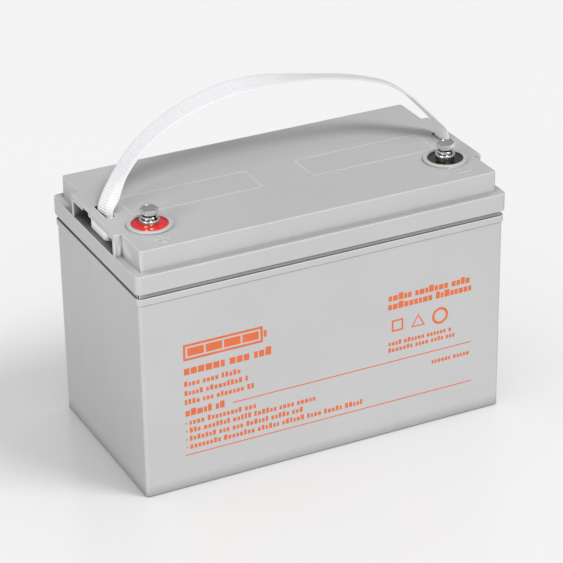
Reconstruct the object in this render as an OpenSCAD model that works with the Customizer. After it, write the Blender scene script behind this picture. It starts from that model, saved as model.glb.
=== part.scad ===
// Deep cycle battery: a sealed 12 V block of six absorbed-glass-mat cells in a row,
// with a bonded lid, two threaded terminals and a webbing carrying strap.
// Millimetres, +Z up. The origin is the middle of the base. +X runs along the row of
// cells, from the positive end to the negative end, and the terminals are on the -Y side.

/* [Block size] */
// Length over the lid skirt
block_length = 330; // [326:1:336]
// Width over the lid skirt
block_width = 173; // [168:1:180]
// Height of the lid top
lid_top_z = 216.7; // [214:0.1:220]
// Radius of the upright corners
corner_radius = 5; // [3:0.5:6]

/* [Container] */
// Thickness of the outer walls and the base
wall = 3.6; // [3:0.1:4]
// Thickness of the walls between the cells
partition = 2; // [1.6:0.1:2.4]
// Height of the underside of the top flange
flange_z = 172.5; // [170:0.5:174]
// Height of the flange band
flange_height = 5.9; // [4:0.1:7]
// Height of the rim that stands up inside the lid skirt
rim_z = 190; // [188:0.5:191]
// Diameter of the weld holes through the partitions
weld_hole_d = 9; // [8:0.5:11]

/* [Lid] */
// Height of the lower edge of the lid skirt
skirt_z = 182.5; // [181:0.5:184]
// Height of the ledge round the raised block
ledge_z = 198.2; // [197:0.1:200]
// Width of the ledge at the short ends
ledge_end = 6.8; // [6:0.1:8]
// Width of the ledge along the long sides
ledge_side = 6.1; // [5:0.1:7]
// Thickness of the lid moulding
lid_wall = 3; // [2.5:0.1:3.5]

/* [Strap bridges] */
// Width of each bridge plate
bridge_width = 88.5; // [76:0.5:96]
// Thickness of each bridge plate
bridge_thickness = 4.9; // [4:0.1:5.5]
// How far each bridge stands out past the raised block
bridge_reach = 6.5; // [4:0.1:6.8]
// Depth of the pocket under each bridge, from the end of the block
pocket_depth = 12; // [11.5:0.5:14]
// Length of the strap slot, across the block
slot_length = 26; // [25:0.5:30]
// Width of the strap slot, along the block
slot_width = 8.5; // [7:0.5:9]

/* [Vent covers] */
// Length of each vent cover
vent_length = 114; // [112:1:116]
// Width of each vent cover
vent_width = 34; // [30:1:38]
// Thickness of each vent cover
vent_thickness = 2; // [1.6:0.1:2.4]
// Gap round each vent cover
vent_gap = 0.25; // [0.2:0.05:0.4]
// Depth of the valve trough under each cover
trough_depth = 10; // [9.5:0.5:11]
// Spacing of the relief valves along each cover
valve_spacing = 42; // [40:1:43]
// Outer diameter of each valve cap
valve_cap_d = 15; // [14:0.5:16]

/* [Terminals] */
// Distance of each terminal from the middle, along the row
terminal_x = 132.6; // [131:0.1:134]
// Distance of each terminal from the middle, towards the front
terminal_y = 40.7; // [40:0.1:46]
// Height of the terminal face
terminal_z = 221.6; // [220:0.1:223]
// Outer diameter of the ring round each terminal
ring_d = 37; // [36:0.5:38]
// Inner diameter of the ring
well_d = 29.6; // [28:0.1:31]
// Height of the ring above the lid top
ring_height = 2.6; // [1.5:0.1:3]
// Diameter of the terminal post and its insert
post_d = 16; // [15:0.5:18]
// Thread diameter of the terminal bolts
bolt_d = 8; // [8:1:8]
// Length of the bolt shank
bolt_length = 20; // [16:1:22]
// Width across the flats of the bolt head
bolt_flats = 13; // [12:0.5:14]
// Height of the bolt head
bolt_head = 5.3; // [5:0.1:6]

/* [Strap] */
// Width of the webbing
strap_width = 22; // [18:1:24]
// Thickness of the webbing
strap_thickness = 1.8; // [1.4:0.1:2.2]
// Where the webbing passes through the slots, from the middle
strap_x = 152.5; // [152:0.1:153]
// Length of the stopper bar on each end of the webbing
stopper_length = 36; // [34:1:38]
// Height of the stopper bar
stopper_height = 7.5; // [6:0.5:8]

/* [Cells] */
// Number of cells in the row
cells = 6; // [6:1:6]
// Positive plates in each cell
positive_count = 6; // [5:1:6]
// Thickness of a positive plate
positive_t = 3.2; // [3:0.1:3.2]
// Thickness of a negative plate
negative_t = 2.4; // [2.2:0.1:2.4]
// Thickness of a separator
separator_t = 1.25; // [1.1:0.05:1.25]
// Height of a plate
plate_height = 150; // [140:1:152]
// Width of a plate
plate_width = 154; // [145:1:156]

/* [Hidden] */

$fn = 48;
eps = 0.01;

// Colours
plastic_grey = [0.80, 0.80, 0.81];
cover_grey = [0.78, 0.78, 0.79];
bead_grey = [0.30, 0.31, 0.33];
resin_red = [0.80, 0.07, 0.09];
resin_black = [0.06, 0.06, 0.06];
bolt_steel = [0.80, 0.80, 0.80];
washer_steel = [0.72, 0.72, 0.73];
insert_brass = [0.80, 0.66, 0.40];
lead_grey = [0.45, 0.46, 0.49];
rubber_black = [0.08, 0.08, 0.08];
strap_white = [0.92, 0.92, 0.93];
positive_brown = [0.33, 0.22, 0.18];
negative_grey = [0.52, 0.54, 0.56];
mat_white = [0.95, 0.95, 0.92];

// Container
body_inset = 2.1;
flange_inset = 0.9;
rim_inset = 3.1;
body_length = block_length - 2 * body_inset;
body_width = block_width - 2 * body_inset;
inner_length = body_length - 2 * wall;
inner_width = body_width - 2 * wall;
cell_pitch = (inner_length + partition) / cells;
cell_length = cell_pitch - partition;
function cell_x(c) = (c - (cells + 1) / 2) * cell_pitch;

// Lid
skirt_wall = 2.6;
deck_z = ledge_z - lid_wall;
raised_length = block_length - 2 * ledge_end;
raised_width = block_width - 2 * ledge_side;
raised_radius = 3;
rib_outer_inset = 7.3;
rib_inner_inset = 9.3;
rib_gap = 0.3;

// Bridges
bridge_end_x = raised_length / 2 + bridge_reach;
bridge_under_z = lid_top_z - bridge_thickness;
bridge_side_wall = 4;
pocket_x = raised_length / 2 - pocket_depth;
pocket_back_wall = 2.5;
slot_inner_x = strap_x - 3;
notch_length = 12;
notch_start_y = 8;
notch_web = 2;

// Polarity marks
mark_x = 134.5;
mark_y = 68;
mark_length = 12.5;
mark_stroke = 2.6;
mark_height = 0.5;

// Vent covers and valves
vent_x = 79.75;
trough_inset = 3;
trough_floor = 2.5;
vent_seat_z = lid_top_z - vent_thickness;
trough_z = vent_seat_z - trough_depth;
neck_r = 5;
neck_bore_r = 3;
neck_height = 6;
cap_wall = 1.6;
cap_fit = 0.05;
cap_height = neck_height + cap_wall;

// Terminals
well_r = well_d / 2;
post_r = post_d / 2;
well_floor_z = 206.5;
well_floor = 3;
boss_wall = 2.5;
post_fit = 0.05;
insert_depth = 8.6;
thread_fit = 0.05;
post_hole_r = bolt_d / 2 + 0.6;
resin_z = 209.6;
resin_top_z = lid_top_z + ring_height - 1.2;
o_ring_r = 1.4;
flat_washer_r = 8.25;
flat_washer_t = 2;
spring_washer_r = 6.4;
spring_washer_section = 2.2;
spring_washer_rise = 1.6;
spring_washer_split = 1;
spring_washer_tilt = asin(spring_washer_rise / (2 * spring_washer_r));
spring_washer_height = spring_washer_section * cos(spring_washer_tilt) + spring_washer_rise;
washer_hole_r = 4.2;
head_z = terminal_z + flat_washer_t + spring_washer_height;
positive_head_turn = -20;
negative_head_turn = -26.5;

// Group bars
bar_width = 12;
bar_height = 6;
plates_z = wall + 1.4;
plates_top_z = plates_z + plate_height;
lug_height = 8;
bar_z = plates_top_z + lug_height - 3;
ear_thickness = 4;
weld_z = bar_z + 14;
ear_top_z = weld_z + 8;
weld_nub_d = weld_hole_d - 0.2;
bar_clear = 1;
pair_pitch = positive_t + negative_t + 2 * separator_t;

// Strap: the line of the webbing from the left slot to the right slot, in X and Z
strap_floor_z = ledge_z + 0.4;
strap_line = [
    [-strap_x, 217], [-150, 226], [-145.2, 236], [-136.8, 249.5], [-125.5, 263],
    [-109, 276], [-88, 287], [-62, 295.5], [-34, 300], [-8, 299.5], [20, 297],
    [48, 292.5], [75, 286], [98, 277.5], [116, 265.5], [131, 250.5], [142, 238.5],
    [150.5, 228], [strap_x, 217]
];
strap_steps = 4;
strap_split_z = 230;
stopper_x = 154;
stopper_depth = 13;
stopper_pocket_gap = 0.2;
stopper_pocket_floor = 2;

function catmull(a, b, c, d, t) =
    0.5 * (2 * b + (c - a) * t + (2 * a - 5 * b + 4 * c - d) * t * t
    + (3 * b - a - 3 * c + d) * t * t * t);

// The straight ends of the webbing, below the slots, carried on by the curve
strap_last = len(strap_line) - 1;
strap_ends_z = strap_floor_z + stopper_pocket_floor;
function strap_knot(i) =
    i < 0 ? [-strap_x, strap_ends_z]
    : i > strap_last ? [strap_x, strap_ends_z]
    : strap_line[i];

strap_curve = concat(
    [[-strap_x, strap_ends_z]],
    [for (i = [0 : strap_last - 1], s = [0 : strap_steps - 1])
        catmull(strap_knot(i - 1), strap_knot(i), strap_knot(i + 1), strap_knot(i + 2), s / strap_steps)],
    [[strap_x, 217], [strap_x, strap_ends_z]]
);
curve_last = len(strap_curve) - 1;

function unit(v) = v / norm(v);
function curve_normal(i) =
    let (d = unit(strap_curve[min(i + 1, curve_last)] - strap_curve[max(i - 1, 0)]))
    [-d[1], d[0]];

// Shapes that repeat

// A rectangle with round corners, centred
module rounded_rect(length, width, r) {
    square([length - 2 * r, width], center = true);
    square([length, width - 2 * r], center = true);
    for (x = [-1, 1], y = [-1, 1])
        translate([x * (length / 2 - r), y * (width / 2 - r)])
            circle(r);
}

// An upright block with round corners, its outline set in from the skirt by inset
module inset_block(inset, z0, z1) {
    translate([0, 0, z0])
        linear_extrude(z1 - z0)
            rounded_rect(block_length - 2 * inset, block_width - 2 * inset, max(corner_radius - inset, 1));
}

// A box between two corners
module box(low, high) {
    translate(low)
        cube(high - low);
}

module at_terminal(side) {
    translate([side * terminal_x, -terminal_y, 0])
        children();
}

// Container

module container() {
    color(plastic_grey)
        difference() {
            union() {
                inset_block(body_inset, 0, flange_z + eps);
                inset_block(flange_inset, flange_z, flange_z + flange_height);
                inset_block(rim_inset, flange_z, rim_z);
            }
            for (c = [1 : cells])
                translate([cell_x(c), 0, wall])
                    linear_extrude(rim_z)
                        rounded_rect(cell_length, inner_width, 1.5);
            for (c = [1 : cells - 1])
                translate([cell_x(c) + cell_pitch / 2, weld_side(c) * terminal_y, weld_z])
                    rotate([0, 90, 0])
                        cylinder(d = weld_hole_d, h = 2 * partition, center = true);
        }
}

// Lid

// The raised block, hollow from below
module raised_block() {
    translate([0, 0, deck_z])
        linear_extrude(lid_top_z - deck_z)
            rounded_rect(raised_length, raised_width, raised_radius);
}

module raised_hollow() {
    translate([0, 0, deck_z - eps])
        linear_extrude(lid_top_z - lid_wall - deck_z + eps)
            rounded_rect(raised_length - 2 * lid_wall, raised_width - 2 * lid_wall, 1.5);
}

// Walls that close the pocket under a bridge off from the inside of the lid
module pocket_box(side) {
    x0 = pocket_x - pocket_back_wall;
    half = bridge_width / 2;
    mirror([side < 0 ? 1 : 0, 0, 0])
        box([x0, -half, deck_z], [raised_length / 2 - 1, half, lid_top_z - 1]);
}

// The bridge plate and its two end walls, outside the block
module bridge(side) {
    half = bridge_width / 2;
    mirror([side < 0 ? 1 : 0, 0, 0]) {
        box([raised_length / 2 - 1, -half, bridge_under_z], [bridge_end_x, half, lid_top_z]);
        for (y = [-half, half - bridge_side_wall])
            box([raised_length / 2 - 1, y, ledge_z - 1],
                [bridge_end_x, y + bridge_side_wall, bridge_under_z + 1]);
    }
}

// What is cut out of the block and the bridge: the pocket, the strap slot and the notch at its end
module pocket_cut(side) {
    half = bridge_width / 2 - bridge_side_wall;
    mirror([side < 0 ? 1 : 0, 0, 0]) {
        box([pocket_x, -half, ledge_z], [bridge_end_x + 1, half, bridge_under_z]);
        translate([slot_inner_x + slot_width / 2, 0, bridge_under_z - 1])
            linear_extrude(bridge_thickness + 2)
                rounded_rect(slot_width, slot_length, 1.5);
        box([slot_inner_x + slot_width - 1, notch_start_y, bridge_under_z - 1],
            [bridge_end_x + 1, notch_start_y + notch_length, lid_top_z - notch_web]);
    }
}

// A terminal well: its boss under the lid and the ring that stands proud of it
module terminal_boss(side) {
    at_terminal(side) {
        translate([0, 0, well_floor_z - well_floor])
            cylinder(r = well_r + boss_wall, h = lid_top_z - 1 - well_floor_z + well_floor);
        translate([0, 0, lid_top_z - 1])
            cylinder(d = ring_d, h = ring_height + 1);
    }
}

module terminal_cut(side) {
    at_terminal(side) {
        translate([0, 0, well_floor_z])
            cylinder(r = well_r, h = lid_top_z);
        translate([0, 0, well_floor_z - well_floor - 1])
            cylinder(r = post_r + post_fit, h = well_floor + 2);
    }
}

// The trough for three relief valves, with the seat of its cover
module trough_shell(side) {
    translate([side * vent_x, 0, trough_z - trough_floor])
        linear_extrude(lid_top_z - 1 - trough_z + trough_floor)
            rounded_rect(vent_length, vent_width, 2);
}

module trough_cut(side) {
    translate([side * vent_x, 0, 0]) {
        translate([0, 0, vent_seat_z])
            linear_extrude(vent_thickness + 1)
                rounded_rect(vent_length, vent_width, 1.5);
        translate([0, 0, trough_z])
            linear_extrude(trough_depth + 1)
                rounded_rect(vent_length - 2 * trough_inset, vent_width - 2 * trough_inset, 1.5);
    }
}

module valve_neck(x) {
    translate([x, 0, trough_z - 1])
        cylinder(r = neck_r, h = neck_height + 1);
}

module valve_bore(x) {
    translate([x, 0, trough_z - trough_floor - 1])
        cylinder(r = neck_bore_r, h = trough_floor + neck_height + 2);
}

function valve_x(c) = (c <= 3 ? -vent_x : vent_x) + ((c - 1) % 3 - 1) * valve_spacing;

// Raised polarity marks: a plus in front of the left terminal and a minus in front of the right one
module polarity_marks() {
    for (side = [-1, 1])
        translate([side * mark_x, -mark_y, lid_top_z - 1])
            linear_extrude(1 + mark_height) {
                square([mark_length, mark_stroke], center = true);
                if (side < 0)
                    square([mark_stroke, mark_length], center = true);
            }
}

module lid() {
    color(plastic_grey)
        difference() {
            union() {
                difference() {
                    union() {
                        inset_block(0, skirt_z, ledge_z);
                        raised_block();
                    }
                    for (side = [-1, 1])
                        pocket_cut(side);
                    difference() {
                        inset_block(skirt_wall, skirt_z - 1, deck_z);
                        difference() {
                            inset_block(rib_outer_inset, rim_z + rib_gap, deck_z + 1);
                            inset_block(rib_inner_inset, rim_z, deck_z + 1);
                        }
                    }
                    raised_hollow();
                }
                for (c = [1 : cells - 1])
                    translate([cell_x(c) + cell_pitch / 2 - partition / 2, -raised_width / 2 + 1, deck_z])
                        cube([partition, raised_width - 2, lid_top_z - 1 - deck_z]);
                for (side = [-1, 1]) {
                    difference() {
                        union() {
                            pocket_box(side);
                            bridge(side);
                        }
                        pocket_cut(side);
                    }
                    terminal_boss(side);
                    trough_shell(side);
                }
                polarity_marks();
            }
            for (side = [-1, 1]) {
                terminal_cut(side);
                difference() {
                    trough_cut(side);
                    for (c = [1 : cells])
                        valve_neck(valve_x(c));
                }
            }
            for (c = [1 : cells])
                valve_bore(valve_x(c));
        }
}

// The bead that bonds the lid to the rim and to the tops of the partitions
module lid_sealing_bead() {
    color(bead_grey) {
        difference() {
            inset_block(skirt_wall + 0.1, rim_z, deck_z);
            inset_block(rib_outer_inset - 0.1, rim_z - 1, deck_z + 1);
        }
        bead_width = block_width - 2 * rib_inner_inset - 0.2;
        for (c = [1 : cells - 1])
            translate([cell_x(c) + cell_pitch / 2 - partition / 2, -bead_width / 2, rim_z])
                cube([partition, bead_width, deck_z - rim_z]);
    }
}

// Vent covers and relief valves

module vent_cover(side) {
    color(cover_grey)
        translate([side * vent_x, 0, 0]) {
            translate([0, 0, vent_seat_z])
                linear_extrude(vent_thickness)
                    rounded_rect(vent_length - 2 * vent_gap, vent_width - 2 * vent_gap, 1.3);
            clip_inset = trough_inset + vent_gap;
            for (x = [-1, 1])
                translate([x * (vent_length / 2 - clip_inset - 0.75) - 0.75, -8, vent_seat_z - 3])
                    cube([1.5, 16, 3 + eps]);
        }
}

module valve_cap(c) {
    color(rubber_black)
        translate([valve_x(c), 0, trough_z])
            difference() {
                union() {
                    cylinder(d = valve_cap_d - 2, h = cap_height);
                    cylinder(d = valve_cap_d, h = 2);
                }
                translate([0, 0, -1])
                    cylinder(r = neck_r + cap_fit, h = neck_height + 1);
            }
}

// Terminals

module post(side) {
    color(lead_grey)
        at_terminal(side)
            difference() {
                translate([0, 0, bar_z + bar_height])
                    cylinder(r = post_r, h = terminal_z - insert_depth - bar_z - bar_height);
                translate([0, 0, head_z - bolt_length - 2])
                    cylinder(r = post_hole_r, h = bolt_length);
            }
}

module insert(side) {
    color(insert_brass)
        at_terminal(side)
            translate([0, 0, terminal_z - insert_depth])
                difference() {
                    cylinder(r = post_r, h = insert_depth);
                    translate([0, 0, -1])
                        cylinder(r = bolt_d / 2 + thread_fit, h = insert_depth + 2);
                }
}

module o_ring(side) {
    color(rubber_black)
        at_terminal(side)
            translate([0, 0, well_floor_z + o_ring_r])
                rotate_extrude()
                    translate([post_r + 0.1 + o_ring_r, 0])
                        circle(o_ring_r);
}

module resin_seal(side) {
    color(side < 0 ? resin_red : resin_black)
        at_terminal(side)
            translate([0, 0, resin_z])
                difference() {
                    cylinder(r = well_r, h = resin_top_z - resin_z);
                    translate([0, 0, -1])
                        cylinder(r = post_r, h = resin_top_z - resin_z + 2);
                }
}

module flat_washer(side) {
    color(washer_steel)
        at_terminal(side)
            translate([0, 0, terminal_z])
                difference() {
                    cylinder(r = flat_washer_r, h = flat_washer_t);
                    translate([0, 0, -1])
                        cylinder(r = washer_hole_r, h = flat_washer_t + 2);
                }
}

// A split ring that lies aslant, as a spring washer does before it is squeezed flat
module spring_washer(side) {
    color(washer_steel)
        at_terminal(side)
            translate([0, 0, terminal_z + flat_washer_t + spring_washer_height / 2])
                rotate([0, spring_washer_tilt, 0])
                    difference() {
                        cylinder(r = spring_washer_r, h = spring_washer_section, center = true);
                        cylinder(r = washer_hole_r, h = 2 * spring_washer_section, center = true);
                        translate([0, -spring_washer_split / 2, -spring_washer_section])
                            cube([spring_washer_r + 1, spring_washer_split, 2 * spring_washer_section]);
                    }
}

module bolt(side) {
    color(bolt_steel)
        at_terminal(side) {
            translate([0, 0, head_z])
                rotate([0, 0, side < 0 ? positive_head_turn : negative_head_turn])
                    cylinder(d = bolt_flats / cos(30), h = bolt_head, $fn = 6);
            translate([0, 0, head_z - bolt_length])
                cylinder(d = bolt_d, h = bolt_length + 1);
        }
}

// Strap

// The edge-on outline of the whole strip of webbing
module strap_outline() {
    half = strap_thickness / 2;
    polygon(concat(
        [for (i = [0 : curve_last]) strap_curve[i] + half * curve_normal(i)],
        [for (i = [curve_last : -1 : 0]) strap_curve[i] - half * curve_normal(i)]
    ));
}

module strap_strip(z0, z1, x0, x1) {
    color(strap_white)
        rotate([90, 0, 0])
            linear_extrude(strap_width, center = true)
                intersection() {
                    strap_outline();
                    translate([x0, z0])
                        square([x1 - x0, z1 - z0]);
                }
}

// A bar too long for the slot, with round ends and a pocket that the webbing is fixed in
module strap_stopper(side) {
    end_r = stopper_depth / 2;
    color(strap_white)
        translate([0, 0, strap_floor_z])
            difference() {
                translate([side * stopper_x, 0, 0])
                    linear_extrude(stopper_height) {
                        square([stopper_depth, stopper_length - stopper_depth], center = true);
                        for (y = [-1, 1])
                            translate([0, y * (stopper_length / 2 - end_r)])
                                circle(end_r);
                    }
                translate([side * strap_x, 0, stopper_pocket_floor + stopper_height / 2])
                    cube([strap_thickness + 2 * stopper_pocket_gap,
                          strap_width + 2 * stopper_pocket_gap, stopper_height], center = true);
            }
}

// Cells

// Odd cells have their positive bar towards the front, even cells towards the back
function positive_side(c) = c % 2 == 1 ? -1 : 1;
// The side on which cell c is welded to the next one
function weld_side(c) = -positive_side(c);
// How far plate i of the stack, counted from 0, lies from the low end of the cell
stack_length = positive_count * pair_pitch + negative_t;
function negative_plate_x(c, i) = cell_x(c) - stack_length / 2 + i * pair_pitch;
function positive_plate_x(c, i) = negative_plate_x(c, i) + negative_t + separator_t;

module plate(x, t, lug_y) {
    translate([x, -plate_width / 2, plates_z])
        cube([t, plate_width, plate_height]);
    translate([x, lug_y - bar_width / 2, plates_top_z - eps])
        cube([t, bar_width, bar_z - plates_top_z + eps]);
}

module positive_plates(c) {
    color(positive_brown)
        for (i = [0 : positive_count - 1])
            plate(positive_plate_x(c, i), positive_t, positive_side(c) * terminal_y);
}

module negative_plates(c) {
    color(negative_grey)
        for (i = [0 : positive_count])
            plate(negative_plate_x(c, i), negative_t, -positive_side(c) * terminal_y);
}

// Mats stand a little above and beside the plates
module separators(c) {
    over = 1;
    color(mat_white)
        for (i = [0 : positive_count - 1], x = [negative_plate_x(c, i) + negative_t,
                positive_plate_x(c, i) + positive_t])
            translate([x, -plate_width / 2 - over, plates_z - over])
                cube([separator_t, plate_width + 2 * over, plate_height + 2 * over]);
}

// A cast bar across the plate lugs of one cell. toward is the end that is welded through
// the partition to the next cell, -1 or 1, or 0 where a terminal post stands on the bar.
module group_bar(c, y_side, toward) {
    length = cell_length - 2 * bar_clear;
    wall_x = cell_x(c) + toward * cell_length / 2;
    y = y_side * terminal_y;
    color(lead_grey) {
        translate([cell_x(c) - length / 2, y - bar_width / 2, bar_z])
            cube([length, bar_width, bar_height]);
        if (toward != 0) {
            ear_x = toward > 0 ? wall_x - ear_thickness : wall_x;
            translate([ear_x, y - bar_width / 2, bar_z])
                cube([ear_thickness, bar_width, ear_top_z - bar_z]);
            translate([wall_x + toward * (partition / 4 - 0.5), y, weld_z])
                rotate([0, 90, 0])
                    cylinder(d = weld_nub_d, h = partition / 2 + 1, center = true);
        }
    }
}

// The positive bar faces the cell before it and the negative bar the cell after it
module positive_bar(c) {
    group_bar(c, positive_side(c), c == 1 ? 0 : -1);
}

module negative_bar(c) {
    group_bar(c, -positive_side(c), c == cells ? 0 : 1);
}

container();
lid();
lid_sealing_bead();
vent_cover(-1);  // left_vent_cover
vent_cover(1);  // right_vent_cover
post(-1);  // positive_post
insert(-1);  // positive_insert
o_ring(-1);  // positive_o_ring
resin_seal(-1);  // positive_resin_seal
flat_washer(-1);  // positive_flat_washer
spring_washer(-1);  // positive_spring_washer
bolt(-1);  // positive_bolt
post(1);  // negative_post
insert(1);  // negative_insert
o_ring(1);  // negative_o_ring
resin_seal(1);  // negative_resin_seal
flat_washer(1);  // negative_flat_washer
spring_washer(1);  // negative_spring_washer
bolt(1);  // negative_bolt
strap_strip(strap_split_z, 320, -200, 200);  // strap_arch
strap_strip(0, strap_split_z, -200, 0);  // strap_leg_left
strap_strip(0, strap_split_z, 0, 200);  // strap_leg_right
strap_stopper(-1);  // strap_stopper_left
strap_stopper(1);  // strap_stopper_right
for (c = [1 : 6]) {
    valve_cap(c);
    positive_plates(c);
    negative_plates(c);
    separators(c);
    positive_bar(c);
    negative_bar(c);
}
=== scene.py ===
"""The looks of a deep cycle battery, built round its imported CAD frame. Sizes are in metres."""

import math
import random

import bmesh
import bpy
from mathutils import Matrix, Vector


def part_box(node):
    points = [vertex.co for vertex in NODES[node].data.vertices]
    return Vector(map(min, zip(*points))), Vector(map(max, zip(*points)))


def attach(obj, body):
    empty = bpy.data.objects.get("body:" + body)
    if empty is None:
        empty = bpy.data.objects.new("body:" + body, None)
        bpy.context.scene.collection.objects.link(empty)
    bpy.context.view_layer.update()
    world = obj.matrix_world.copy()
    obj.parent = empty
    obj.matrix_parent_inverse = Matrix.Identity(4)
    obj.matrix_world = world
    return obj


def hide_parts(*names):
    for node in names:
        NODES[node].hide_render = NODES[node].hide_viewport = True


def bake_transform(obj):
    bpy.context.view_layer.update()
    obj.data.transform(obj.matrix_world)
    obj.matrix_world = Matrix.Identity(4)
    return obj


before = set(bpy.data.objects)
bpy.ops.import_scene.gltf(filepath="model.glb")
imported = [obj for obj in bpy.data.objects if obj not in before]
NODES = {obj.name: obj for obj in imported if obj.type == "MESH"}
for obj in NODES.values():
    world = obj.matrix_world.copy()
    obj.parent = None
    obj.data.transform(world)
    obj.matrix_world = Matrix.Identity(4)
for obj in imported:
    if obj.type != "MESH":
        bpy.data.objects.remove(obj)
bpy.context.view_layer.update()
MM = 0.001
SIDES = ("positive", "negative")

# ---------------------------------------------------------------- camera, floor and light

CAMERA_AZIMUTH = math.radians(-26.05)
CAMERA_ELEVATION = math.radians(26.90)
CAMERA_ROLL = math.radians(-0.893)
CAMERA_TARGET = Vector((0.1028, 0.2083, 0.0))
CAMERA_DISTANCE = 2.2974
CAMERA_LENS_MM = 156.31
SENSOR_MM = 36.0


def direction(azimuth, elevation):
    """The unit vector towards a place seen at that azimuth, where 0 is the front, and elevation."""
    flat = math.cos(elevation)
    return Vector((math.sin(azimuth) * flat, -math.cos(azimuth) * flat, math.sin(elevation)))


def make_camera():
    back = direction(CAMERA_AZIMUTH, CAMERA_ELEVATION)
    right = (-back).cross(Vector((0, 0, 1))).normalized()
    up = back.cross(right)
    x_axis = right * math.cos(CAMERA_ROLL) + up * math.sin(CAMERA_ROLL)
    y_axis = up * math.cos(CAMERA_ROLL) - right * math.sin(CAMERA_ROLL)
    lens = bpy.data.cameras.new("camera")
    lens.lens = CAMERA_LENS_MM
    lens.sensor_width = SENSOR_MM
    lens.clip_end = 50
    camera = bpy.data.objects.new("camera", lens)
    turn = Matrix((x_axis, y_axis, back)).transposed().to_4x4()
    camera.matrix_world = Matrix.Translation(CAMERA_TARGET + back * CAMERA_DISTANCE) @ turn
    bpy.context.scene.collection.objects.link(camera)
    bpy.context.scene.camera = camera


def add_light(name, kind, azimuth, elevation, energy, receivers, **settings):
    """A light that shines from that side, from 3 m away, on what its receivers say."""
    light = bpy.data.lights.new(name, kind)
    light.energy = energy
    for setting, value in settings.items():
        setattr(light, setting, value)
    towards = direction(math.radians(azimuth), math.radians(elevation))
    lamp = bpy.data.objects.new(name, light)
    lamp.location = towards * 3 + Vector((0, 0, 0.1))
    lamp.rotation_euler = towards.to_track_quat("Z", "Y").to_euler()
    lamp.light_linking.receiver_collection = receivers
    bpy.context.scene.collection.objects.link(lamp)


def receivers_of(name, floor, state):
    """A light-linking list that holds the floor, either as its only member or as what it leaves out."""
    made = bpy.data.collections.new(name)
    made.objects.link(floor)
    made.collection_objects[0].light_linking.link_state = state
    return made


def make_lights(floor):
    """Softboxes for the battery, and a second pair that lays its shadow on the table top."""
    battery = receivers_of("lit_but_the_floor", floor, "EXCLUDE")
    table = receivers_of("lit_floor", floor, "INCLUDE")
    world = bpy.data.worlds.new("studio")
    world.use_nodes = True
    world.node_tree.nodes["Background"].inputs["Color"].default_value = (1, 1, 1, 1)
    world.node_tree.nodes["Background"].inputs["Strength"].default_value = 0.36
    bpy.context.scene.world = world
    box = {"shape": "RECTANGLE"}
    add_light("key", "SUN", 2, 48, 2.4, battery, angle=math.radians(15))
    add_light("left_softbox", "AREA", -65, 20, 42, battery, size=1.3, size_y=0.8, **box)
    add_light("right_softbox", "AREA", 41, 53, 9, battery, size=0.9, size_y=0.4, **box)
    add_light("table_key", "SUN", 45, 50, 1.40, table, angle=math.radians(24))
    add_light("table_top_light", "SUN", 0, 88, 1.40, table, angle=math.radians(150))
    bpy.context.scene.view_settings.view_transform = "Standard"


# ---------------------------------------------------------------- shader building blocks


def add(tree, kind, inputs=None, **settings):
    """A shader node with its settings, its input values and its input links."""
    made = tree.nodes.new(kind)
    for name, value in settings.items():
        setattr(made, name, value)
    for socket, value in (inputs or {}).items():
        if isinstance(value, bpy.types.NodeSocket):
            tree.links.new(value, made.inputs[socket])
        else:
            made.inputs[socket].default_value = value
    return made


def principled(name, constants):
    """A new material with those constants on its Principled shader."""
    made = bpy.data.materials.new(name)
    made.use_nodes = True
    shader = made.node_tree.nodes["Principled BSDF"]
    for socket, value in constants.items():
        shader.inputs[socket].default_value = value
    return made, made.node_tree, shader


def place(tree, stretch=(1, 1, 1)):
    """Coordinates in the frame, in metres, stretched along the axes."""
    where = add(tree, "ShaderNodeTexCoord").outputs["Object"]
    return add(tree, "ShaderNodeMapping", {"Vector": where, "Scale": stretch}).outputs[0]


def noise(tree, where, scale, detail=2.0, roughness=0.5, distortion=0.0):
    inputs = {"Vector": where, "Scale": scale, "Detail": detail,
              "Roughness": roughness, "Distortion": distortion}
    return add(tree, "ShaderNodeTexNoise", inputs).outputs["Fac"]


def ramp(tree, factor, *stops):
    """A colour ramp; each stop is a place from 0 to 1 and a colour."""
    made = add(tree, "ShaderNodeValToRGB", {"Fac": factor})
    elements = made.color_ramp.elements
    while len(elements) < len(stops):
        elements.new(0.5)
    for element, (at, colour) in zip(elements, stops):
        element.position = at
        element.color = (*colour, 1) if len(colour) == 3 else colour
    return made.outputs["Color"]


def spread(tree, factor, low, high, start=0.3, end=0.7):
    """The factor between start and end, turned into a value between low and high."""
    inputs = {"Value": factor, "From Min": start, "From Max": end, "To Min": low, "To Max": high}
    return add(tree, "ShaderNodeMapRange", inputs).outputs["Result"]


def mix(tree, factor, first, second, blend="MIX"):
    made = add(tree, "ShaderNodeMix", data_type="RGBA", blend_type=blend)
    for socket, value in ((0, factor), (6, first), (7, second)):
        if isinstance(value, bpy.types.NodeSocket):
            tree.links.new(value, made.inputs[socket])
        else:
            made.inputs[socket].default_value = value
    return made.outputs[2]


def bump(tree, shader, height, strength, distance):
    """Adds a bump to the shader, on top of any that it has already."""
    inputs = {"Height": height, "Strength": strength, "Distance": distance}
    if shader.inputs["Normal"].is_linked:
        inputs["Normal"] = shader.inputs["Normal"].links[0].from_socket
    made = add(tree, "ShaderNodeBump", inputs)
    tree.links.new(made.outputs["Normal"], shader.inputs["Normal"])


def tint(colour, factor):
    return tuple(min(1.0, channel * factor) for channel in colour)


def painted_shade_mask(tree, reach):
    """Where painted shade goes: 0 deep in a recess of about that reach, 1 on open ground."""
    shade = add(tree, "ShaderNodeAmbientOcclusion", {"Distance": reach}, samples=8)
    return spread(tree, shade.outputs["AO"], 0.0, 1.0, 0.30, 0.68)


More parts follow.
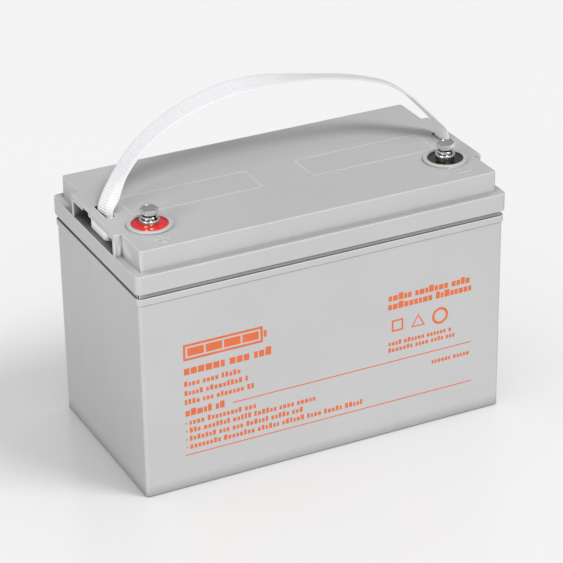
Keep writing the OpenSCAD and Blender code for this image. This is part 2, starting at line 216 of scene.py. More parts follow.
def edge_highlight_mask(tree, radius):
    """1 on edges that are rounded less than radius, 0 on flat ground."""
    soft = add(tree, "ShaderNodeBevel", {"Radius": radius}, samples=6).outputs["Normal"]
    hard = add(tree, "ShaderNodeNewGeometry").outputs["Normal"]
    dot = add(tree, "ShaderNodeVectorMath", {0: soft, 1: hard}, operation="DOT_PRODUCT")
    return spread(tree, dot.outputs["Value"], 1.0, 0.0, 0.86, 0.992)


# ---------------------------------------------------------------- materials


def moulded_plastic(name, colour, roughness, edge_highlight_strength=1.0):
    """Satin polypropylene: fine grain, faint cloudiness, scuffs, a painted highlight on its edges and
    painted shade in its recesses.
    """
    made, tree, shader = principled(name, {"IOR": 1.49, "Specular IOR Level": 0.42})
    where = place(tree)
    cloud = noise(tree, where, 7, 3)
    speck = noise(tree, where, 2600, 1)
    base = ramp(tree, cloud, (0.35, tint(colour, 0.975)), (0.65, tint(colour, 1.02)))
    grain = ramp(tree, speck, (0.3, (0.955, 0.955, 0.955)), (0.7, (1, 1, 1)))
    base = mix(tree, 1.0, base, grain, "MULTIPLY")
    # Painted highlight: sharp edges lightened in patches towards 1.75 times the colour, up to the given
    # strength.
    patchy_edge_highlight = add(tree, "ShaderNodeMath", {0: edge_highlight_mask(tree, 1.2 * MM), 1: noise(tree, where, 90, 4)},
              operation="MULTIPLY").outputs[0]
    painted_edge_highlight = spread(tree, patchy_edge_highlight, 0.0, edge_highlight_strength, 0.05, 0.30)
    base = mix(tree, painted_edge_highlight, base, (*tint(colour, 1.75), 1))
    # Painted shade: deep recesses darkened towards a tenth of the colour, where shade falls.
    base = mix(tree, painted_shade_mask(tree, 24 * MM), (*tint(colour, 0.10), 1), base)
    tree.links.new(base, shader.inputs["Base Color"])
    scuffs = noise(tree, place(tree, (1, 3, 1)), 38, 6, 0.7, 0.4)
    tree.links.new(spread(tree, scuffs, roughness - 0.05, roughness + 0.06, 0.35, 0.7),
                   shader.inputs["Roughness"])
    bump(tree, shader, noise(tree, where, 1500, 3, 0.6), 0.22, 0.06 * MM)
    bump(tree, shader, noise(tree, where, 30, 2), 0.10, 0.5 * MM)
    return made


def plated_metal(name, colour, roughness):
    """Plated steel or turned brass: fine marks round it from the tool, smudges and small pits."""
    made, tree, shader = principled(name, {"Metallic": 1.0})
    where = place(tree)
    smudge = noise(tree, where, 260, 4, 0.6)
    base = ramp(tree, smudge, (0.3, tint(colour, 0.86)), (0.7, colour))
    # Painted shade: small recesses darkened towards nearly black.
    base = mix(tree, painted_shade_mask(tree, 2.6 * MM), (*tint(colour, 0.06), 1), base)
    tree.links.new(base, shader.inputs["Base Color"])
    tree.links.new(spread(tree, smudge, roughness, roughness + 0.16), shader.inputs["Roughness"])
    bump(tree, shader, noise(tree, place(tree, (0.15, 0.15, 1)), 5200, 2), 0.10, 0.02 * MM)
    bump(tree, shader, noise(tree, where, 900, 3), 0.08, 0.05 * MM)
    return made


def cured_resin(name, deep, thin):
    """Glossy potting resin with a few swirls left from pouring."""
    made, tree, shader = principled(
        name, {"Coat Weight": 0.15, "Coat Roughness": 0.03, "IOR": 1.52, "Subsurface Weight": 0.06,
               "Subsurface Scale": 0.6 * MM})
    where = place(tree)
    swirl = noise(tree, where, 130, 3, 0.5, 1.6)
    tree.links.new(ramp(tree, swirl, (0.3, deep), (0.75, thin)), shader.inputs["Base Color"])
    tree.links.new(spread(tree, swirl, 0.10, 0.18), shader.inputs["Roughness"])
    bump(tree, shader, noise(tree, where, 110, 2), 0.16, 0.3 * MM)
    return made


def woven_webbing(name, colour):
    """Polypropylene webbing: the ribs are in the mesh, and yarns and fibres come from its UV map."""
    made, tree, shader = principled(
        name, {"Sheen Weight": 0.25, "Sheen Roughness": 0.4, "Specular IOR Level": 0.35})
    uv = add(tree, "ShaderNodeTexCoord").outputs["UV"]
    warp = add(tree, "ShaderNodeTexWave", {"Vector": uv, "Scale": 13.0, "Distortion": 0.5,
                                           "Detail": 1.0, "Detail Scale": 3.0},
               wave_type="BANDS", bands_direction="X", wave_profile="SIN").outputs["Fac"]
    fibre_place = add(tree, "ShaderNodeMapping", {"Vector": uv, "Scale": (90, 12, 1)}).outputs[0]
    fibres = noise(tree, fibre_place, 3.0, 4, 0.65)
    soil = noise(tree, place(tree), 18, 3)
    base = ramp(tree, fibres, (0.25, tint(colour, 0.90)), (0.7, tint(colour, 1.03)))
    shade = ramp(tree, warp, (0.0, (0.93, 0.93, 0.94)), (0.6, (1, 1, 1)))
    base = mix(tree, 1.0, base, shade, "MULTIPLY")
    base = mix(tree, spread(tree, soil, 0.0, 0.10, 0.45, 0.8), base, (*tint(colour, 0.82), 1))
    tree.links.new(base, shader.inputs["Base Color"])
    tree.links.new(spread(tree, fibres, 0.55, 0.75), shader.inputs["Roughness"])
    bump(tree, shader, warp, 0.45, 0.10 * MM)
    bump(tree, shader, fibres, 0.25, 0.06 * MM)
    return made


def cast_lead(name, fresh, dull):
    """Grey metal with dull oxide in patches and a coarse cast skin."""
    made, tree, shader = principled(name, {"Metallic": 0.75})
    where = place(tree)
    oxide = noise(tree, where, 75, 5, 0.62)
    tree.links.new(ramp(tree, oxide, (0.35, dull), (0.6, fresh)), shader.inputs["Base Color"])
    tree.links.new(spread(tree, oxide, 0.62, 0.40), shader.inputs["Roughness"])
    bump(tree, shader, noise(tree, where, 420, 4), 0.35, 0.2 * MM)
    return made


def moulded_rubber(name):
    """Nearly black rubber with a paler bloom."""
    made, tree, shader = principled(name, {"Specular IOR Level": 0.3})
    where = place(tree)
    bloom = noise(tree, where, 120, 4, 0.6)
    tree.links.new(ramp(tree, bloom, (0.4, (0.022, 0.022, 0.023)), (0.8, (0.05, 0.05, 0.052))),
                   shader.inputs["Base Color"])
    tree.links.new(spread(tree, bloom, 0.55, 0.75), shader.inputs["Roughness"])
    bump(tree, shader, noise(tree, where, 1400, 2), 0.3, 0.05 * MM)
    return made


def pasted_plate(name, paste, grid):
    """Active paste in a cast grid, whose bars show through as a net of fine ridges."""
    made, tree, shader = principled(name, {"Specular IOR Level": 0.2})
    where = place(tree)
    upright = (0, math.radians(90), 0)
    lattice_place = add(tree, "ShaderNodeMapping", {"Vector": where, "Rotation": upright})
    lattice = add(tree, "ShaderNodeTexBrick",
                  {"Vector": lattice_place.outputs[0], "Scale": 95.0, "Mortar Size": 0.05,
                   "Mortar Smooth": 0.4, "Brick Width": 1.0, "Row Height": 0.7}, offset=0.0)
    mud = noise(tree, where, 160, 5, 0.65)
    base = ramp(tree, mud, (0.3, tint(paste, 0.8)), (0.7, tint(paste, 1.2)))
    base = mix(tree, lattice.outputs["Fac"], base, (*grid, 1))
    tree.links.new(base, shader.inputs["Base Color"])
    tree.links.new(spread(tree, mud, 0.75, 0.95), shader.inputs["Roughness"])
    bump(tree, shader, mud, 0.5, 0.3 * MM)
    bump(tree, shader, lattice.outputs["Fac"], 0.6, 0.3 * MM)
    return made


def glass_fibre_mat(name):
    """Felted white fibres that run mostly one way."""
    made, tree, shader = principled(name, {"Specular IOR Level": 0.2, "Sheen Weight": 0.2})
    fibres = noise(tree, place(tree, (1, 6, 1)), 420, 6, 0.75, 0.8)
    tree.links.new(ramp(tree, fibres, (0.3, (0.74, 0.74, 0.70)), (0.65, (0.90, 0.90, 0.86))),
                   shader.inputs["Base Color"])
    tree.links.new(spread(tree, fibres, 0.8, 0.95), shader.inputs["Roughness"])
    bump(tree, shader, fibres, 0.6, 0.3 * MM)
    return made


def cured_epoxy(name):
    """Dark grey sealant with a lumpy skin."""
    made, tree, shader = principled(name, {"IOR": 1.5})
    where = place(tree)
    lumps = noise(tree, where, 140, 4)
    tree.links.new(ramp(tree, lumps, (0.3, (0.05, 0.055, 0.06)), (0.7, (0.10, 0.105, 0.115))),
                   shader.inputs["Base Color"])
    tree.links.new(spread(tree, lumps, 0.35, 0.6), shader.inputs["Roughness"])
    bump(tree, shader, lumps, 0.4, 0.4 * MM)
    return made


def printed_ink(name, colour):
    """Screen-printed ink: slightly patchy, with pinholes where the grain shows through."""
    made, tree, shader = principled(name, {"Specular IOR Level": 0.4})
    where = place(tree)
    patch = noise(tree, where, 110, 4)
    pinholes = noise(tree, where, 2300, 2)
    base = ramp(tree, patch, (0.3, tint(colour, 0.93)), (0.7, tint(colour, 1.05)))
    base = mix(tree, spread(tree, pinholes, 0.0, 0.35, 0.60, 0.75), base, (0.62, 0.45, 0.38, 1))
    tree.links.new(base, shader.inputs["Base Color"])
    tree.links.new(spread(tree, patch, 0.42, 0.55), shader.inputs["Roughness"])
    bump(tree, shader, pinholes, 0.15, 0.03 * MM)
    return made


def studio_floor(name):
    """A pale, slightly glossy table top."""
    made, tree, shader = principled(name, {"Specular IOR Level": 0.5, "IOR": 1.45})
    wide = noise(tree, place(tree), 3, 2)
    tree.links.new(ramp(tree, wide, (0.3, (0.80, 0.80, 0.80)), (0.7, (0.81, 0.81, 0.81))),
                   shader.inputs["Base Color"])
    tree.links.new(spread(tree, wide, 0.17, 0.20), shader.inputs["Roughness"])
    return made


CASE_GREY = (0.46, 0.46, 0.462)
COVER_GREY = (0.452, 0.452, 0.455)
MATERIALS = {
    "case_plastic": moulded_plastic("case_plastic", CASE_GREY, 0.42),
    "cover_plastic": moulded_plastic("cover_plastic", COVER_GREY, 0.38),
    "stopper_plastic": moulded_plastic("stopper_plastic", (0.86, 0.86, 0.87), 0.36, 0.5),
    "sealant": cured_epoxy("sealant"),
    "lead": cast_lead("lead", (0.34, 0.35, 0.38), (0.19, 0.20, 0.22)),
    "brass_insert": plated_metal("brass_insert", (0.80, 0.68, 0.46), 0.20),
    "tarnished_insert": plated_metal("tarnished_insert", (0.22, 0.18, 0.12), 0.34),
    "plated_steel": plated_metal("plated_steel", (0.80, 0.80, 0.81), 0.07),
    "rubber": moulded_rubber("rubber"),
    "red_resin": cured_resin("red_resin", (0.62, 0.004, 0.012), (0.80, 0.012, 0.03)),
    "black_resin": cured_resin("black_resin", (0.004, 0.004, 0.004), (0.008, 0.008, 0.009)),
    "webbing": woven_webbing("webbing", (0.74, 0.74, 0.76)),
    "positive_paste": pasted_plate("positive_paste", (0.10, 0.05, 0.035), (0.17, 0.13, 0.12)),
    "negative_paste": pasted_plate("negative_paste", (0.24, 0.25, 0.27), (0.34, 0.35, 0.37)),
    "glass_mat": glass_fibre_mat("glass_mat"),
    "label_ink": printed_ink("label_ink", (0.62, 0.13, 0.038)),
}

# ---------------------------------------------------------------- mesh building blocks


def finish_piece(name, mesh, body, slot, replaced=()):
    """A mesh as a piece of the object: its material, its body and the CAD nodes it stands for."""
    piece = bpy.data.objects.new(name, mesh)
    bpy.context.scene.collection.objects.link(piece)
    mesh.materials.clear()
    mesh.materials.append(MATERIALS[slot])
    if body:
        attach(piece, body)
    if replaced:
        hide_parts(*replaced)
    return piece


def mesh_from(bm, name, sharp_degrees=35):
    """The finished mesh of a bmesh, shaded smooth with its sharp edges kept."""
    bmesh.ops.recalc_face_normals(bm, faces=bm.faces)
    mesh = bpy.data.meshes.new(name)
    bm.to_mesh(mesh)
    bm.free()
    mesh.shade_smooth()
    mesh.set_sharp_from_angle(angle=math.radians(sharp_degrees))
    return mesh


def keep_flats_flat(piece):
    """Shades flat faces flat, and leaves the gradient to the rounded edges."""
    piece.modifiers.new("flat_faces", "WEIGHTED_NORMAL").keep_sharp = True


def join_rings(bm, rings, closed=False):
    """Skins a list of closed rings of vertices; closed joins the last ring to the first."""
    pairs = list(zip(rings, rings[1:])) + ([(rings[-1], rings[0])] if closed else [])
    for low, high in pairs:
        count = len(low)
        for i in range(count):
            bm.faces.new((low[i], low[(i + 1) % count], high[(i + 1) % count], high[i]))


def revolve(bm, profile, centre, steps):
    """Turns a closed profile of (radius, height) points round an upright axis."""
    rings = []
    for k in range(steps):
        angle = math.tau * k / steps
        rings.append([bm.verts.new((centre.x + r * math.cos(angle), centre.y + r * math.sin(angle), z))
                      for r, z in profile])
    join_rings(bm, rings, closed=True)


def middle(node):
    """The middle of a CAD node's box."""
    low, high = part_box(node)
    return (low + high) / 2


# ---------------------------------------------------------------- moulded shells

# Vertices closer than this are one, and faces closer in angle than FLAT are one face
WELD = 0.002 * MM
FLAT = math.radians(0.5)
# Edges sharper than this are rounded
SHARP = math.radians(30)
LID_SKIRT_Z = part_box("lid")[0].z


def rounded_shell(node, name, slot, rounds):
    """A copy of a moulding whose outer edges are rounded, as (chooser of edges, radius, segments)."""
    bm = bmesh.new()
    bm.from_mesh(NODES[node].data)
    bmesh.ops.remove_doubles(bm, verts=bm.verts, dist=WELD)
    bmesh.ops.dissolve_limit(bm, angle_limit=FLAT, verts=bm.verts, edges=bm.edges)
    for chooses, radius, segments in rounds:
        chosen = [edge for edge in bm.edges
                  if len(edge.link_faces) == 2 and edge.calc_face_angle_signed(0) > SHARP
                  and chooses(*(vertex.co for vertex in edge.verts))]
        bmesh.ops.bevel(bm, geom=chosen, offset=radius, offset_type="OFFSET", segments=segments,
                        profile=0.5, affect="EDGES", clamp_overlap=False)
    keep_flats_flat(finish_piece(name, mesh_from(bm, name), "battery", slot, [node]))


def from_side(point, low, high):
    """How far a point is inside the nearest upright face of a box."""
    return min(point.x - low.x, high.x - point.x, point.y - low.y, high.y - point.y)


def make_container():
    low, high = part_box("container")
    reach = 3.0 * MM

    def outside(a, b):
        return all(from_side(v, low, high) < reach and v.z < LID_SKIRT_Z for v in (a, b))

    rounded_shell("container", "container_shell", "case_plastic", [(outside, 0.7 * MM, 3)])


def make_lid():
    low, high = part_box("lid")
    top_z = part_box("left_vent_cover")[1].z
    block_reach = 7.2 * MM
    skirt_reach = 1.5 * MM
    skirt_depth = 15 * MM
    bridge_face_x = high.x - 1.6 * MM
    slot_x = high.x - 6.9 * MM
    slot_reach_y = 20 * MM
    close = 0.05 * MM

    def skirt_and_block(a, b):
        """Edges of the skirt, of the top of the raised block, and of the ends of the bridges."""
        ends = (a, b)
        level = abs(a.z - b.z) < close
        at_top = level and abs(a.z - top_z) < close
        near_skirt = all(from_side(v, low, high) < skirt_reach for v in ends)
        on_skirt = level and a.z < top_z - skirt_depth and near_skirt
        bridge_corner = not level and all(abs(v.x) > bridge_face_x for v in ends)
        inside_slot = all(abs(v.x) < slot_x and abs(v.y) < slot_reach_y for v in ends)
        near_rim = all(from_side(v, low, high) < block_reach for v in ends)
        return near_rim and not inside_slot and (at_top or on_skirt or bridge_corner)

    def terminal_rings(a, b):
        return min(a.z, b.z) > top_z + 1 * MM

    rounded_shell("lid", "lid_shell", "case_plastic",
                  [(skirt_and_block, 0.8 * MM, 3), (terminal_rings, 1.0 * MM, 4)])


# ---------------------------------------------------------------- terminals


def make_resin(side_name):
    """A poured disc whose surface climbs a little at the ring and at the post."""
    node = f"{side_name}_resin_seal"
    name = f"{side_name}_resin"
    low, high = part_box(node)
    centre = middle(node)
    outer = (high.x - low.x) / 2
    insert_low, insert_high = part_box(f"{side_name}_insert")
    inner = (insert_high.x - insert_low.x) / 2
    climb = 0.5 * MM
    reach = 1.2 * MM
    points = 14
    profile = [(inner, low.z)]
    for k in range(points + 1):
        r = inner + (outer - inner) * k / points
        rise = math.exp(-(r - inner) / reach) + math.exp(-(outer - r) / reach)
        profile.append((r, high.z - climb + climb * min(1.0, rise)))
    profile.append((outer, low.z))
    bm = bmesh.new()
    revolve(bm, profile, centre, 96)
    slot = "red_resin" if side_name == "positive" else "black_resin"
    finish_piece(name, mesh_from(bm, name), "battery", slot, [node])


HEAD_FLATS = 13.0 * MM
HEAD_TURN = {"positive": math.radians(-20), "negative": math.radians(-26.5)}
THREAD_PITCH = 1.25 * MM
THREAD_DEPTH = 0.65 * MM


def hex_radius(angle):
    """Half the size of a regular hexagon in that direction."""
    sixth = math.radians(60)
    return HEAD_FLATS / 2 / math.cos((angle % sixth) - sixth / 2)


def add_bolt_head(bm, centre, low_z, high_z, turn):
    """A hexagon with both ends chamfered, a washer face below and a shallow dish on top."""
    steps = 96
    face = 0.90 * HEAD_FLATS / 2
    slope = math.tan(math.radians(28))
    washer_face = 0.35 * MM

    def ring(radius, height):
        made = []
        for k in range(steps):
            angle = math.tau * k / steps
            r = radius(angle) if callable(radius) else radius
            z = height(angle) if callable(height) else height
            x = centre.x + r * math.cos(angle + turn)
            y = centre.y + r * math.sin(angle + turn)
            made.append(bm.verts.new((x, y, z)))
        return made

    def top_edge(angle):
        return high_z - max(0.0, hex_radius(angle) - face) * slope

    def bottom_edge(angle):
        return low_z + washer_face + max(0.0, hex_radius(angle) - face) * slope * 0.5

    soft = 0.12 * MM
    rings = [
        ring(face, low_z), ring(face, low_z + washer_face),
        ring(lambda a: hex_radius(a) - soft, bottom_edge),
        ring(hex_radius, lambda a: bottom_edge(a) + soft),
        ring(hex_radius, lambda a: top_edge(a) - soft),
        ring(lambda a: hex_radius(a) - soft, top_edge),
        ring(face, high_z), ring(face * 0.80, high_z), ring(face * 0.74, high_z - 0.35 * MM),
    ]
    join_rings(bm, rings)
    bm.faces.new(rings[-1])
    bm.faces.new(list(reversed(rings[0])))


def add_thread(bm, centre, low_z, high_z, radius):
    """A right-hand screw thread that tapers off at its lower end and stops under the head."""
    steps, per_turn = 36, 10
    rows = round((high_z - low_z) / THREAD_PITCH * per_turn)
    rings = []
    for row in range(rows + 1):
        z = low_z + (high_z - low_z) * row / rows
        taper = 0.9 * MM * max(0.0, 1 - (z - low_z) / (1.0 * MM))
        made = []
        for k in range(steps):
            angle = math.tau * k / steps
            phase = ((z - low_z) / THREAD_PITCH - angle / math.tau) % 1
            groove = min(1.0, max(0.0, 1.35 - abs(phase - 0.5) * 4))
            shank = min(1.0, max(0.0, (high_z - 2 * MM - z) / (0.6 * MM)))
            r = radius - THREAD_DEPTH * groove * shank - taper
            made.append(bm.verts.new((centre.x + r * math.cos(angle), centre.y + r * math.sin(angle), z)))
        rings.append(made)
    join_rings(bm, rings)
    bm.faces.new(rings[-1])
    bm.faces.new(list(reversed(rings[0])))


def make_bolt(side_name):
    node = f"{side_name}_bolt"
    low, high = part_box(node)
    centre = middle(node)
    head_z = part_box(f"{side_name}_spring_washer")[1].z
    bm = bmesh.new()
    add_bolt_head(bm, centre, head_z, high.z, HEAD_TURN[side_name])
    add_thread(bm, centre, low.z, head_z + 0.5 * MM, 4 * MM)
    name = f"{side_name}_hex_bolt"
    finish_piece(name, mesh_from(bm, name, 30), f"{side_name}_screw", "plated_steel", [node])


def make_spring_washer(side_name):
    """One turn of square wire that climbs like a screw and leaves a cut between its ends."""
    node = f"{side_name}_spring_washer"
    low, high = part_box(node)
    centre = middle(node)
    outer, inner = 6.4 * MM, 4.2 * MM
    section = 2.2 * MM
    rise = high.z - low.z - section
    corner = 0.3 * MM
    start, sweep, steps = math.radians(-75), math.radians(-346), 72
    bm = bmesh.new()
    rings = []
    for k in range(steps + 1):
        angle = start + sweep * k / steps
        z = low.z + rise * k / steps
        outline = [(inner + corner, z), (outer - corner, z), (outer, z + corner),
                   (outer, z + section - corner), (outer - corner, z + section),
                   (inner + corner, z + section), (inner, z + section - corner), (inner, z + corner)]
        x, y = math.cos(angle), math.sin(angle)
        rings.append([bm.verts.new((centre.x + r * x, centre.y + r * y, height))
                      for r, height in outline])
    join_rings(bm, rings)
    bm.faces.new(rings[0])
    bm.faces.new(list(reversed(rings[-1])))
    name = f"{side_name}_split_washer"
    finish_piece(name, mesh_from(bm, name, 30), f"{side_name}_washers", "plated_steel", [node])


def make_flat_washer(side_name):
    """A stamped washer: the punched side is rounded over and the other side is crisp."""
    node = f"{side_name}_flat_washer"
    low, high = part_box(node)
    outer, inner = (high.x - low.x) / 2, 4.2 * MM
    roll, break_edge = 0.6 * MM, 0.1 * MM
    quarter = [math.radians(angle) for angle in (0, 22.5, 45, 67.5, 90)]
    profile = [(inner, low.z + break_edge), (inner + break_edge, low.z)]
    profile += [(outer - break_edge, low.z), (outer, low.z + break_edge)]
    profile += [(outer - roll + roll * math.cos(a), high.z - roll + roll * math.sin(a)) for a in quarter]
    profile += [(inner + roll / 2, high.z), (inner, high.z - roll / 2)]
    bm = bmesh.new()
    revolve(bm, profile, middle(node), 96)
    name = f"{side_name}_stamped_washer"
    finish_piece(name, mesh_from(bm, name, 40), f"{side_name}_washers", "plated_steel", [node])


# ---------------------------------------------------------------- strap

STRAP_HALF_WIDTH = 11.0 * MM
STRAP_THICKNESS = 1.8 * MM
RIB_PITCH = 2.3 * MM
RIB_HEIGHT = 0.42 * MM
SAMPLES_PER_RIB = 6
STEPS_ACROSS = 12
SLOT_X = 152.5 * MM
LID_TOP_Z = 216.7 * MM
# The line of the webbing between the slots, in X and Z, in millimetres, as in the CAD source
STRAP_LINE = [
    (-152.5, 217), (-150, 226), (-145.2, 236), (-136.8, 249.5), (-125.5, 263), (-109, 276), (-88, 287),
    (-62, 295.5), (-34, 300), (-8, 299.5), (20, 297), (48, 292.5), (75, 286), (98, 277.5),
    (116, 265.5), (131, 250.5), (142, 238.5), (150.5, 228), (152.5, 217),
]
# How much higher the far edge of the webbing is than its near edge, along X, in millimetres
STRAP_TILT = [(-112, 0), (-62, 2.6), (-45, 3.5), (-20, 3.5), (37, -3.3), (90, -3.3), (112, 0)]


def eased(table, at):
    """A value from a table of (place, value), with smooth steps between its entries."""
    if at <= table[0][0]:
        return table[0][1]
    for (x0, y0), (x1, y1) in zip(table, table[1:]):
        if at <= x1:
            t = (at - x0) / (x1 - x0)
            return y0 + (y1 - y0) * t * t * (3 - 2 * t)
    return table[-1][1]


def strap_route():
    """Points along the webbing, evenly spaced, with the distance between them."""
    foot_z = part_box("strap_leg_left")[0].z / MM
    knots = [Vector((-SLOT_X / MM, foot_z)), *map(Vector, STRAP_LINE), Vector((SLOT_X / MM, foot_z))]
    fine, steps = [knots[0]], 24
    for a, b, c, d in zip(knots, knots[1:], knots[2:], knots[3:]):
        for k in range(steps):
            t = k / steps
            fine.append(0.5 * (2 * b + (c - a) * t + (2 * a - 5 * b + 4 * c - d) * t ** 2
                               + (3 * b - a - 3 * c + d) * t ** 3))
    fine += knots[-2:]
    lengths = [0.0]
    for a, b in zip(fine, fine[1:]):
        lengths.append(lengths[-1] + (b - a).length)
    count = round(lengths[-1] * MM / RIB_PITCH) * SAMPLES_PER_RIB
    route, at = [], 0
    for k in range(count + 1):
        wanted = lengths[-1] * k / count
        while lengths[at + 1] < wanted and at < len(fine) - 2:
            at += 1
        share = (wanted - lengths[at]) / (lengths[at + 1] - lengths[at])
        route.append(fine[at].lerp(fine[at + 1], share) * MM)
    return route, lengths[-1] * MM


def smooth(value):
    """A soft step from 0 to 1 as the value goes from 0 to 1."""
    t = min(1.0, max(0.0, value))
    return t * t * (3 - 2 * t)


def strap_crease(x, y, z):
    """How far a point of the webbing is moved along X and Y where it is creased at its two slots."""
    above = z - LID_TOP_Z
    entering = smooth((above + 8 * MM) / (6 * MM))
    if x > 0:
        fade = min(1.0, max(0.0, 1 - above / (27 * MM)))
        crease = -11 * MM + 6.5 * MM * entering * fade
        beyond = max(0.0, crease - y)
        return 0.34 * beyond, 0.30 * beyond
    crease = -3 * MM
    gather = 1.0 * MM
    strength = entering * smooth(1 - (above - 2 * MM) / (34 * MM))
    beyond = crease - y
    if beyond < 0:
        return strength * (0.215 * beyond - gather), strength * (0.21 * beyond - gather)
    outward = 0.45 + 0.50 * smooth(above / (15 * MM))
    return strength * (outward * beyond - gather), strength * (0.55 * beyond - gather)


def webbing_section(point, normal, rib_scale, wander, swell):
    """Where the points of the webbing's outline lie at one place, each with its step across."""
    half = STRAP_THICKNESS / 2
    edge_radius = 0.75 * MM
    thinnest = 0.15 * MM
    mean_reach = STRAP_HALF_WIDTH - 0.2 * MM
    bulge = 0.12 * MM * swell
    tilt = eased(STRAP_TILT, point.x / MM) * MM
    outline = []
    for side in (1, -1):
        for i in range(STEPS_ACROSS + 1):
            u = side * (-1 + 2 * i / STEPS_ACROSS)
            y = u * (mean_reach + wander * 0.4) + bulge * u
            to_edge = (1 - abs(u)) * STRAP_HALF_WIDTH
            round_off = math.sqrt(max(0.0, 1 - max(0.0, 1 - to_edge / edge_radius) ** 2))
            rib = RIB_HEIGHT * rib_scale * (swell - 1) * min(1.0, to_edge / (1.2 * MM) + 0.35)
            height = max(thinnest, half + rib) * (0.35 + 0.65 * round_off)
            spot = Vector((point.x, y, point.y)) + normal * (height * side)
            spot.z += tilt * u / 2
            along_x, along_y = strap_crease(point.x, y, point.y)
            spot.x += along_x
            spot.y += along_y
            outline.append((spot, i if side == 1 else STEPS_ACROSS - i))
    return outline


def make_strap():
    """One strip of ribbed webbing, from the pocket of one stopper bar to that of the other."""
    rng = random.Random(12)
    route, length = strap_route()
    bm = bmesh.new()
    uv_layer = bm.loops.layers.uv.new("UVMap")
    rings, places = [], []
    for k, point in enumerate(route):
        before, after = route[max(0, k - 1)], route[min(len(route) - 1, k + 1)]
        run = (after - before).normalized()
        normal = Vector((-run.y, 0, run.x))
        phase = (k % SAMPLES_PER_RIB) / SAMPLES_PER_RIB
        if phase == 0:
            rib_scale = rng.uniform(0.86, 1.1)
            wander = rng.uniform(-0.12, 0.12) * MM
        swell = math.sin(math.pi * phase) ** 0.6 if phase else 0.0
        ring = []
        for spot, i in webbing_section(point, normal, rib_scale, wander, swell):
            ring.append(bm.verts.new(spot))
            places.append((i, k))
        rings.append(ring)
    join_rings(bm, rings)
    bm.faces.new(rings[0])
    bm.faces.new(list(reversed(rings[-1])))
    bm.verts.index_update()
    for face in bm.faces:
        for loop in face.loops:
            i, k = places[loop.vert.index]
            along = k / len(route) * length / (2 * STRAP_HALF_WIDTH)
            loop[uv_layer].uv = (i / STEPS_ACROSS, along)
    strap = finish_piece("strap_webbing", mesh_from(bm, "strap_webbing", 60), None, "webbing",
                         ["strap_arch", "strap_leg_left", "strap_leg_right"])
    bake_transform(strap)


# ---------------------------------------------------------------- print on the front

INK_HEIGHT = 0.06 * MM
# The Y of the container's flat front, below its flange
FRONT_Y = min(v.co.y for v in NODES["container"].data.vertices if v.co.z < 1 * MM)


def add_slab(bm, outline):
    """A thin raised patch of ink on the front, from an outline of (x, z) points in millimetres."""
    back = [bm.verts.new((x * MM, FRONT_Y + INK_HEIGHT, z * MM)) for x, z in outline]
    front = [bm.verts.new((x * MM, FRONT_Y - INK_HEIGHT, z * MM)) for x, z in outline]
    join_rings(bm, [back, front])
    bm.faces.new(front)
    bm.faces.new(list(reversed(back)))


def add_bar(bm, x0, x1, z0, z1):
    add_slab(bm, [(x0, z0), (x1, z0), (x1, z1), (x0, z1)])


def add_frame(bm, outer, inner):
    """A closed band of ink between two outlines with the same number of points."""
    back, front = FRONT_Y + INK_HEIGHT, FRONT_Y - INK_HEIGHT
    loops = []
    for outline, y in ((outer, back), (outer, front), (inner, front), (inner, back)):
        loops.append([bm.verts.new((x * MM, y, z * MM)) for x, z in outline])
    join_rings(bm, loops, closed=True)


def polygon(x, z, radius, sides, turn):
    """The corners of a regular polygon in the plane of the front."""
    return [(x + radius * math.cos(turn + math.tau * k / sides),
             z + radius * math.sin(turn + math.tau * k / sides)) for k in range(sides)]


def add_line_of_blocks(bm, rng, x0, x1, z0, height, bold):
    """A line of plain blocks in word-like groups, standing for a line of text."""
    x = x0
    widest = 0.78 if bold else 0.62
    gap = (0.14 if bold else 0.24) * height
    while x < x1 - 0.5 * height:
        for _ in range(rng.randint(3, 9)):
            width = height * rng.uniform(0.42, widest)
            if x + width > x1:
                break
            top = height if rng.random() < 0.25 else 0.76 * height
            add_bar(bm, x, x + width, z0, z0 + top)
            x += width + gap
        x += 0.42 * height


# Lines of print: left end, right end, foot, height of the tall blocks, all in millimetres, and weight
HEADINGS = [(-127.0, -45.8, 102.6, 7.6, True), (-127.0, -88.4, 65.2, 6.4, True),
            (56.4, 134.4, 123.4, 6.2, True), (56.0, 134.6, 115.6, 6.2, True)]
SMALL_LINES = [(-127.2, -72.5, 92.3, 4.6, False), (-127.2, -71.0, 84.0, 4.6, False),
               (-127.2, -65.8, 75.9, 4.6, False), (-123.8, -61.8, 57.0, 4.6, False),
               (-123.8, -8.3, 49.6, 4.6, False), (-123.8, -22.1, 42.2, 4.6, False),
               (-123.8, 34.4, 34.8, 4.6, False), (56.6, 117.1, 82.2, 4.2, False),
               (56.6, 122.0, 76.2, 4.2, False), (97.6, 135.1, 55.6, 4.2, False)]
RULES = [(-85.6, 134.8, 66.9), (-128.0, 135.8, 29.4)]
RULE_WIDTH = 0.9
BULLETS = (57.0, 49.6, 42.2, 34.8)


def finish_print(bm, name):
    finish_piece(name, mesh_from(bm, name), "battery", "label_ink")


def make_print_lines():
    rng = random.Random(75)
    bm = bmesh.new()
    for line in HEADINGS + SMALL_LINES:
        add_line_of_blocks(bm, rng, *line)
    for foot in BULLETS:
        add_slab(bm, polygon(-126.6, foot + 1.9, 0.75, 12, 0))
    finish_print(bm, "print_lines")


def make_print_rules():
    bm = bmesh.new()
    for x0, x1, z in RULES:
        add_bar(bm, x0, x1, z, z + RULE_WIDTH)
    finish_print(bm, "print_rules")


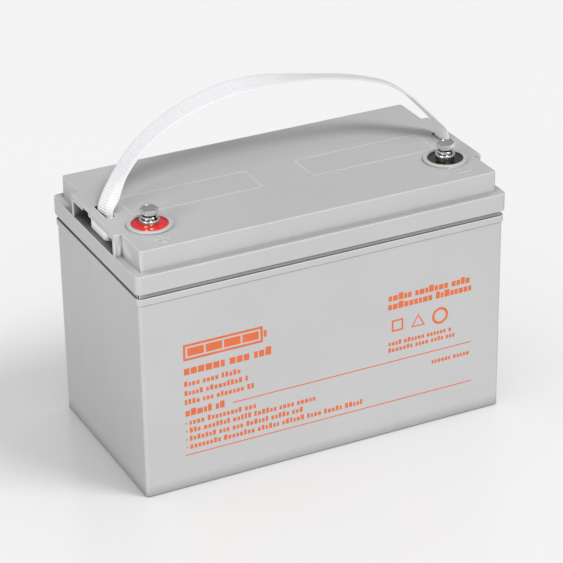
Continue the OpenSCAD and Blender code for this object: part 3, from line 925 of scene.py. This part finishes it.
def make_charge_symbol():
    """An outline of a battery with a knob at its right end and plain bars in it."""
    bm = bmesh.new()
    left, right, foot, top, band = -127.2, -57.6, 115.4, 129.8, 2.0
    outline = [(left, foot), (right, foot), (right, top), (left, top)]
    inside = [(left + band, foot + band), (right - band, foot + band),
              (right - band, top - band), (left + band, top - band)]
    add_frame(bm, outline, inside)
    add_bar(bm, right + 0.9, right + 3.4, foot + 4.2, top - 4.2)
    bars, gap = 4, 1.6
    pitch = (right - left - 2 * band - gap) / bars
    for k in range(bars):
        x0 = left + band + gap + k * pitch
        add_bar(bm, x0, x0 + pitch - gap, foot + band + gap, top - band - gap)
    finish_print(bm, "print_charge_symbol")


def make_symbols():
    """Three plain outlines in a row: a square, a triangle and a circle."""
    bm = bmesh.new()
    radius, band = 7.6, 2.2
    symbols = [(64.9, 100.2, 4, math.radians(45)), (84.2, 98.4, 3, math.radians(90)),
               (105.0, 99.2, 32, 0.0)]
    for x, z, sides, turn in symbols:
        outer = polygon(x, z, radius, sides, turn)
        add_frame(bm, outer, polygon(x, z, radius - band, sides, turn))
    finish_print(bm, "print_symbols")


# ---------------------------------------------------------------- carried-over CAD nodes

FINISHES = {
    "lid_sealing_bead": "sealant",
    "left_vent_cover": "cover_plastic", "right_vent_cover": "cover_plastic",
    "positive_post": "lead", "negative_post": "lead",
    "positive_insert": "brass_insert", "negative_insert": "brass_insert",
    "positive_o_ring": "rubber", "negative_o_ring": "rubber",
    "strap_stopper_left": "stopper_plastic", "strap_stopper_right": "stopper_plastic",
    "valve_cap": "rubber", "positive_plates": "positive_paste", "negative_plates": "negative_paste",
    "separators": "glass_mat", "positive_bar": "lead", "negative_bar": "lead",
}
SOFT_EDGES = {"left_vent_cover": 0.3, "right_vent_cover": 0.3, "valve_cap": 0.5,
              "strap_stopper_left": 1.4, "strap_stopper_right": 1.4,
              "positive_bar": 0.8, "negative_bar": 0.8, "positive_post": 0.5, "negative_post": 0.5}


def dress_cad_node(name, node):
    """Gives a shown CAD node its finish, and soft edges by modifiers, which leave its mesh alone."""
    kind = name.rstrip("_0123456789") if name[-1].isdigit() else name
    if kind not in FINISHES:
        return
    slot = FINISHES[kind]
    finish = MATERIALS["tarnished_insert" if kind == "negative_insert" else slot]
    for material_slot in node.material_slots:
        material_slot.material = finish
    if kind in SOFT_EDGES:
        node.modifiers.new("joined_corners", "WELD").merge_threshold = WELD
        edges = node.modifiers.new("soft_edges", "BEVEL")
        edges.width = SOFT_EDGES[kind] * MM
        edges.segments = 3
        edges.limit_method = "ANGLE"
        edges.angle_limit = SHARP
        keep_flats_flat(node)


def make_floor():
    bm = bmesh.new()
    bmesh.ops.create_grid(bm, x_segments=1, y_segments=1, size=8)
    mesh = bpy.data.meshes.new("floor")
    bm.to_mesh(mesh)
    bm.free()
    mesh.materials.append(studio_floor("floor"))
    floor = bpy.data.objects.new("floor", mesh)
    floor.location.z = -0.2 * MM
    bpy.context.scene.collection.objects.link(floor)
    return floor


make_camera()
make_lights(make_floor())
make_container()
make_lid()
for side_name in SIDES:
    make_resin(side_name)
    make_bolt(side_name)
    make_spring_washer(side_name)
    make_flat_washer(side_name)
make_strap()
make_print_lines()
make_print_rules()
make_charge_symbol()
make_symbols()
for node_name, cad_node in NODES.items():
    dress_cad_node(node_name, cad_node)
